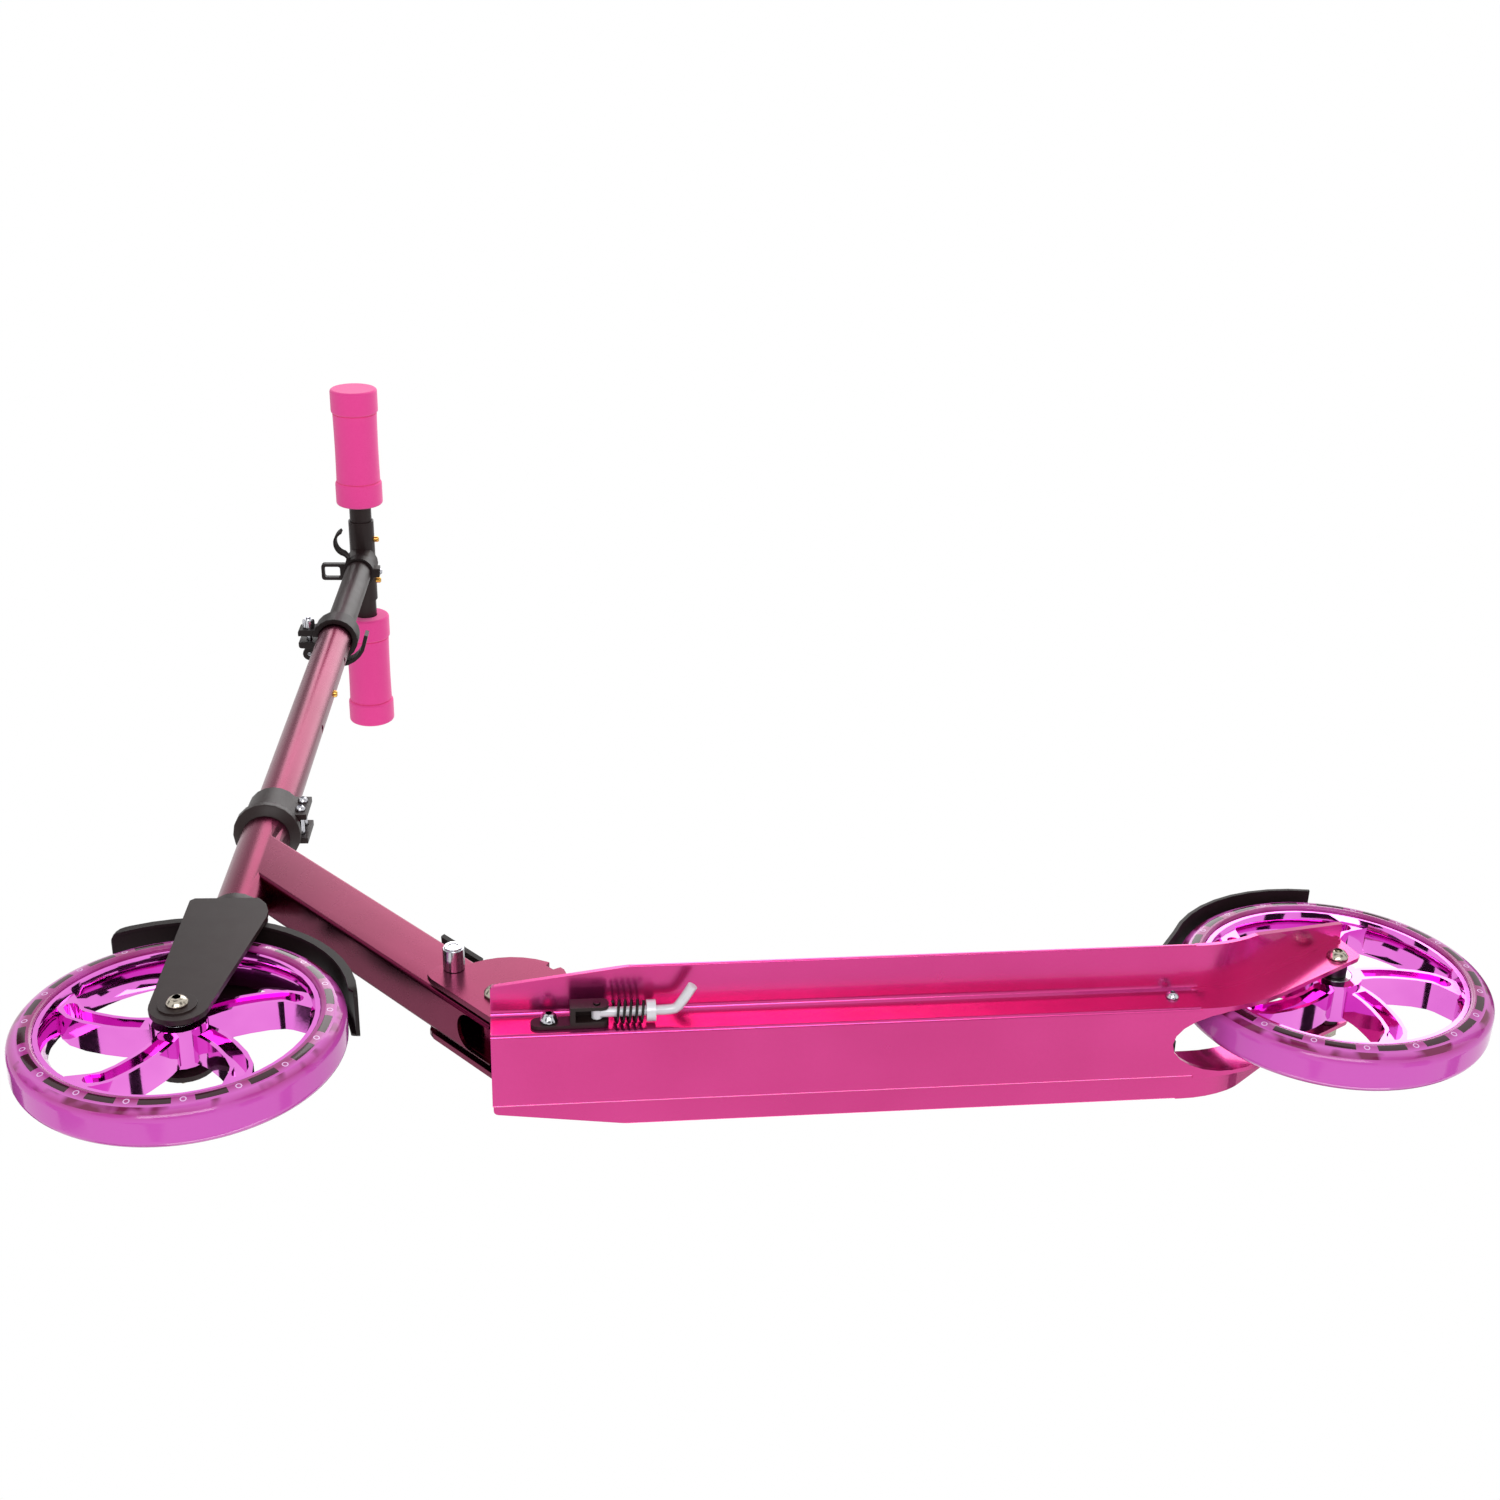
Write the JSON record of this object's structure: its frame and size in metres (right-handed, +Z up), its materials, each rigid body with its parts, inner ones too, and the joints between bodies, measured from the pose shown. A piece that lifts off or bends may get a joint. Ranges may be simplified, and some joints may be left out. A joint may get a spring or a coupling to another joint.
{
  "type": "kick scooter",
  "caption": "Folding kick scooter with large wheels, a channel deck, a foot brake fender, a height-adjustable bar with pull-out grips and a side stand.",
  "frame": {"origin": "on the ground, half way between the two axles, in the middle plane", "axes": "+X forward, +Y the rider's left, +Z up"},
  "size_m": [0.9306, 0.356, 1.0112],
  "materials": {
    "candy_pink_metal": "glossy candy paint over bright metal",
    "pink_chrome": "mirror-like anodised pink",
    "tyre_pink": "clear glossy polyurethane",
    "black_plastic": "fine satin",
    "black_paint": "satin paint",
    "grip_tape": "coarse grit",
    "foam_pink": "matte foam rubber",
    "steel": "satin",
    "zinc": "bright zinc plate",
    "brass": "polished",
    "dark_steel": "oiled dark",
    "white_zinc": "pale satin"
  },
  "bodies": {
    "deck": {"deck": "candy_pink_metal", "grip_tape": "grip_tape", "fold_plate_left": "candy_pink_metal", "fold_plate_right": "candy_pink_metal", "fold_pivot_bolt": "steel", "fold_pivot_nut": "steel", "brake_pivot_pin": "zinc", "brake_spring": "dark_steel", "rear_axle_bolt": "steel", "rear_axle_nut": "steel", "rear_axle_spacer_left": "dark_steel", "rear_axle_spacer_right": "dark_steel", "rear_bearing_spacer": "zinc", "kickstand_bracket": "black_paint", "kickstand_screw": "zinc", "kickstand_pin": "dark_steel"},
    "rear_wheel": {"rear_rim": "pink_chrome", "rear_tyre": "tyre_pink", "rear_bearing_left": "zinc", "rear_bearing_right": "zinc"},
    "brake": {"brake_fender": "black_plastic"},
    "kickstand": {"kickstand_leg": "white_zinc", "kickstand_spring": "dark_steel"},
    "neck": {"neck": "candy_pink_metal", "headset_bearing_top": "black_paint", "headset_bearing_bottom": "black_paint"},
    "lock_bolt": {"lock_bolt": "zinc", "lock_nut": "zinc"},
    "lock_lever": {"lock_lever": "black_plastic"},
    "fork": {"fork": "black_paint", "front_fender": "black_plastic", "fork_collar": "black_paint", "collar_screw_lower": "zinc", "collar_screw_upper": "zinc", "lower_column": "candy_pink_metal", "column_clamp": "black_plastic", "clamp_bolt": "zinc", "clamp_nut": "zinc", "front_axle_bolt": "steel", "front_axle_nut": "steel", "front_axle_spacer_left": "dark_steel", "front_axle_spacer_right": "dark_steel", "front_bearing_spacer": "zinc"},
    "front_wheel": {"front_rim": "pink_chrome", "front_tyre": "tyre_pink", "front_bearing_left": "zinc", "front_bearing_right": "zinc"},
    "clamp_lever": {"clamp_lever": "black_plastic"},
    "upper_column": {"upper_column": "black_paint", "handle_clip": "black_plastic", "clip_screw": "zinc"},
    "height_button": {"height_button": "brass"},
    "handle_left": {"handle_tube_left": "black_paint", "grip_left": "foam_pink"},
    "handle_right": {"handle_tube_right": "black_paint", "grip_right": "foam_pink"},
    "handle_button_left": {"handle_button_left": "brass"},
    "handle_button_right": {"handle_button_right": "brass"}
  },
  "joints": [
    {"name": "front_wheel_spin", "type": "hinge", "parent": "fork", "child": "front_wheel", "pos_m": [0.36535, 0, 0.1], "axis": [0, 1, 0], "continuous": true},
    {"name": "rear_wheel_spin", "type": "hinge", "parent": "deck", "child": "rear_wheel", "pos_m": [-0.36535, 0, 0.1], "axis": [0, 1, 0], "continuous": true},
    {"name": "fold_hinge", "type": "hinge", "parent": "deck", "child": "neck", "pos_m": [0.17515, 0, 0.0984], "axis": [0, -1, 0], "range_deg": [0, 87]},
    {"name": "steering", "type": "hinge", "parent": "neck", "child": "fork", "pos_m": [0.35576, 0, 0.09954], "axis": [-0.048, 0, 0.9988], "range_deg": [-75, 75]},
    {"name": "lock_slide", "type": "slide", "parent": "neck", "child": "lock_bolt", "axis": [0.6136, 0, 0.7896], "range_m": [0, 0.0119]},
    {"name": "lock_lever_turn", "type": "hinge", "parent": "lock_bolt", "child": "lock_lever", "pos_m": [0.20074, -0.0286, 0.13133], "axis": [0.6136, 0, 0.7896], "range_deg": [0, 100]},
    {"name": "clamp_lever_turn", "type": "hinge", "parent": "fork", "child": "clamp_lever", "pos_m": [0.34799, -0.0155, 0.77194], "axis": [-0.048, 0, 0.9988], "range_deg": [0, 100]},
    {"name": "column_height", "type": "slide", "parent": "fork", "child": "upper_column", "axis": [-0.048, 0, 0.9988], "range_m": [-0.07, 0.078]},
    {"name": "height_button_press", "type": "slide", "parent": "fork", "child": "height_button", "axis": [0.9988, 0, 0.048], "range_m": [0, 0.003], "stiffness_N_per_m": 400, "springref_m": -0.002},
    {"name": "handle_left_pull", "type": "slide", "parent": "upper_column", "child": "handle_left", "axis": [0, 1, 0], "range_m": [0, 0.035]},
    {"name": "handle_right_pull", "type": "slide", "parent": "upper_column", "child": "handle_right", "axis": [0, -1, 0], "range_m": [0, 0.035]},
    {"name": "handle_button_left_press", "type": "slide", "parent": "upper_column", "child": "handle_button_left", "axis": [0.9988, 0, 0.048], "range_m": [0, 0.003], "stiffness_N_per_m": 400, "springref_m": -0.002},
    {"name": "handle_button_right_press", "type": "slide", "parent": "upper_column", "child": "handle_button_right", "axis": [0.9988, 0, 0.048], "range_m": [0, 0.003], "stiffness_N_per_m": 400, "springref_m": -0.002},
    {"name": "brake_press", "type": "hinge", "parent": "deck", "child": "brake", "pos_m": [-0.24185, 0, 0.06], "axis": [0, -1, 0], "range_deg": [0, 1.2], "stiffness_Nm_per_rad": 20, "springref_deg": -1.15},
    {"name": "kickstand_swing", "type": "hinge", "parent": "deck", "child": "kickstand", "pos_m": [0.11465, 0.0336, 0.055], "axis": [0, -1, 0], "range_deg": [0, 1.2]}
  ],
  "couplings": [
    {"joint": "lock_slide", "follows": "fold_hinge", "m_per_rad": 0.0077712}
  ]
}
